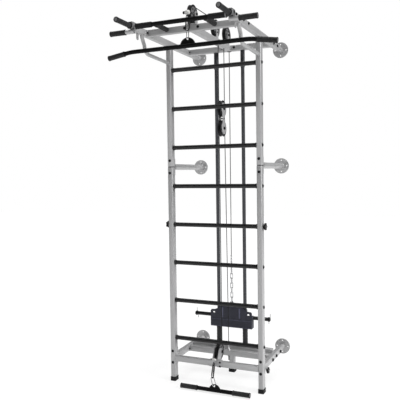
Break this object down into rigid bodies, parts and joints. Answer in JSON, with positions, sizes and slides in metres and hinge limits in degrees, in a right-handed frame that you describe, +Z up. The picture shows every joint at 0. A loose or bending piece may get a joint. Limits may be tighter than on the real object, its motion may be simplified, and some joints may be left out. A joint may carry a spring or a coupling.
{
  "type": "multi gym",
  "caption": "Wall-mounted ladder gym with climbing rungs, pull-up bar, and a high and a low cable pull that lift one weight carriage for loose weight plates",
  "frame": {"origin": "on the floor, under the middle of the whole object's box", "axes": "+Z up, +Y towards the wall, -Y towards the user, +X to the right of someone who faces the wall"},
  "size_m": [1.0558, 1.145, 2.3392],
  "materials": {
    "silver_paint": "silver-grey powder coat, slightly metallic",
    "black_paint": "black satin powder coat",
    "black_rubber": "matte black",
    "black_plastic": "black, lightly textured",
    "dark_blue_paint": "blue-black hammered paint",
    "cable_coat": "clear grey coat over steel strands",
    "stop_plastic": "light grey, moulded",
    "zinc_plate": "bright zinc"
  },
  "bodies": {
    "frame": {"left_upright_lower": "silver_paint", "right_upright_lower": "silver_paint", "left_upright_upper": "silver_paint", "right_upright_upper": "silver_paint", "left_top_rail": "silver_paint", "right_top_rail": "silver_paint", "left_mid_wall_arm": "silver_paint", "right_mid_wall_arm": "silver_paint", "left_bottom_arm": "silver_paint", "right_bottom_arm": "silver_paint", "front_top_beam": "silver_paint", "rear_top_beam": "silver_paint", "pulley_beam": "silver_paint", "front_bottom_beam": "silver_paint", "rear_bottom_frame": "silver_paint", "left_gusset_tube": "silver_paint", "right_gusset_tube": "silver_paint", "low_pulley_bracket": "silver_paint", "rung_1": "black_paint", "rung_2": "black_paint", "rung_3": "black_paint", "rung_4": "black_paint", "rung_5": "black_paint", "rung_6": "black_paint", "rung_7": "black_paint", "rung_8": "black_paint", "pull_up_bar": "black_paint", "left_foot": "black_rubber", "right_foot": "black_rubber", "rear_foot": "black_rubber", "left_forward_handle": "black_rubber", "right_forward_handle": "black_rubber", "left_outer_grip": "black_rubber", "right_outer_grip": "black_rubber", "left_stop_sleeve": "black_rubber", "right_stop_sleeve": "black_rubber", "left_guide_rod": "dark_blue_paint", "right_guide_rod": "dark_blue_paint", "top_cable_run": "cable_coat", "block_upper_loop": "cable_coat", "block_lower_loop": "cable_coat", "low_cable_wrap": "cable_coat", "weight_strand": "cable_coat"},
    "carriage": {"weight_carriage": "dark_blue_paint", "weight_chain": "zinc_plate"},
    "lat_stop": {"lat_cable_stop": "stop_plastic"},
    "lat_hook": {"lat_hook": "black_paint"},
    "lat_bar": {"lat_bar": "black_paint"},
    "front_wheel": {"front_top_wheel": "black_plastic"},
    "rear_wheel_1": {"rear_top_wheel_1": "black_plastic"},
    "rear_wheel_2": {"rear_top_wheel_2": "black_plastic"},
    "low_wheel": {"low_wheel": "black_plastic"},
    "block": {"pulley_block": "silver_paint"},
    "block_wheel_upper": {"block_upper_wheel": "black_plastic"},
    "block_wheel_lower": {"block_lower_wheel": "black_plastic"},
    "low_stop": {"low_cable_stop": "stop_plastic"},
    "low_hook": {"low_hook": "black_paint"},
    "low_bar": {"low_bar": "black_paint"},
    "knob_left": {"left_star_knob": "black_plastic"},
    "knob_right": {"right_star_knob": "black_plastic"}
  },
  "joints": [
    {"name": "carriage_lift", "type": "slide", "parent": "frame", "child": "carriage", "axis": [0, 0, 1], "range_m": [0, 1.3], "deforming": ["weight_strand"]},
    {"name": "lat_bar_pull", "type": "slide", "parent": "frame", "child": "lat_stop", "axis": [0, 0, -1], "range_m": [0, 1.3]},
    {"name": "lat_hook_swivel", "type": "hinge", "parent": "lat_stop", "child": "lat_hook", "pos_m": [0, -0.293, 2.277], "axis": [0, 0, 1], "range_deg": [-5, 5]},
    {"name": "lat_bar_tilt", "type": "hinge", "parent": "lat_hook", "child": "lat_bar", "pos_m": [0, -0.293, 2.1656], "axis": [0, 1, 0], "range_deg": [-8, 8]},
    {"name": "front_top_wheel_turn", "type": "hinge", "parent": "frame", "child": "front_wheel", "pos_m": [0, -0.2225, 2.285], "axis": [1, 0, 0], "range_deg": [0, 1500]},
    {"name": "rear_top_wheel_1_turn", "type": "hinge", "parent": "frame", "child": "rear_wheel_1", "pos_m": [0, 0.1245, 2.285], "axis": [1, 0, 0], "range_deg": [0, 1500]},
    {"name": "rear_top_wheel_2_turn", "type": "hinge", "parent": "frame", "child": "rear_wheel_2", "pos_m": [0, 0.3245, 2.285], "axis": [1, 0, 0], "range_deg": [0, 1500]},
    {"name": "block_upper_wheel_turn", "type": "hinge", "parent": "block", "child": "block_wheel_upper", "pos_m": [0, 0.2245, 1.79], "axis": [1, 0, 0], "range_deg": [-1500, 0]},
    {"name": "low_bar_pull", "type": "slide", "parent": "frame", "child": "low_stop", "axis": [0, -0.9397, 0.342], "range_m": [0, 1]},
    {"name": "low_hook_swivel", "type": "hinge", "parent": "low_stop", "child": "low_hook", "pos_m": [0.00226, 0.02802, 0.16418], "axis": [0, 0, 1], "range_deg": [-8, 8]},
    {"name": "low_bar_swing", "type": "hinge", "parent": "low_hook", "child": "low_bar", "pos_m": [0.0087, -0.0133, 0.0862], "axis": [1, 0, 0], "range_deg": [-20, 0]},
    {"name": "block_slide", "type": "slide", "parent": "frame", "child": "block", "axis": [0, 0, -1], "range_m": [0, 0.5], "deforming": ["block_upper_loop", "block_lower_loop"]},
    {"name": "block_lower_wheel_turn", "type": "hinge", "parent": "block", "child": "block_wheel_lower", "pos_m": [0, 0.2245, 1.663], "axis": [1, 0, 0], "range_deg": [0, 580]},
    {"name": "low_wheel_turn", "type": "hinge", "parent": "frame", "child": "low_wheel", "pos_m": [0, 0.1325, 0.212], "axis": [1, 0, 0], "range_deg": [-1150, 0]},
    {"name": "left_knob_turn", "type": "hinge", "parent": "frame", "child": "knob_left", "pos_m": [-0.33, 0.0825, 1.0386], "axis": [-1, 0, 0], "continuous": true},
    {"name": "right_knob_turn", "type": "hinge", "parent": "frame", "child": "knob_right", "pos_m": [0.33, 0.0825, 1.0386], "axis": [1, 0, 0], "continuous": true}
  ],
  "couplings": [
    {"joint": "lat_bar_pull", "follows": "carriage_lift", "ratio": 1},
    {"joint": "front_top_wheel_turn", "follows": "carriage_lift", "rad_per_m": 20},
    {"joint": "rear_top_wheel_1_turn", "follows": "carriage_lift", "rad_per_m": 20},
    {"joint": "rear_top_wheel_2_turn", "follows": "carriage_lift", "rad_per_m": 20},
    {"joint": "block_upper_wheel_turn", "follows": "carriage_lift", "rad_per_m": -20},
    {"joint": "block_slide", "follows": "low_bar_pull", "ratio": 0.5},
    {"joint": "block_lower_wheel_turn", "follows": "low_bar_pull", "rad_per_m": 10},
    {"joint": "low_wheel_turn", "follows": "low_bar_pull", "rad_per_m": -20}
  ]
}
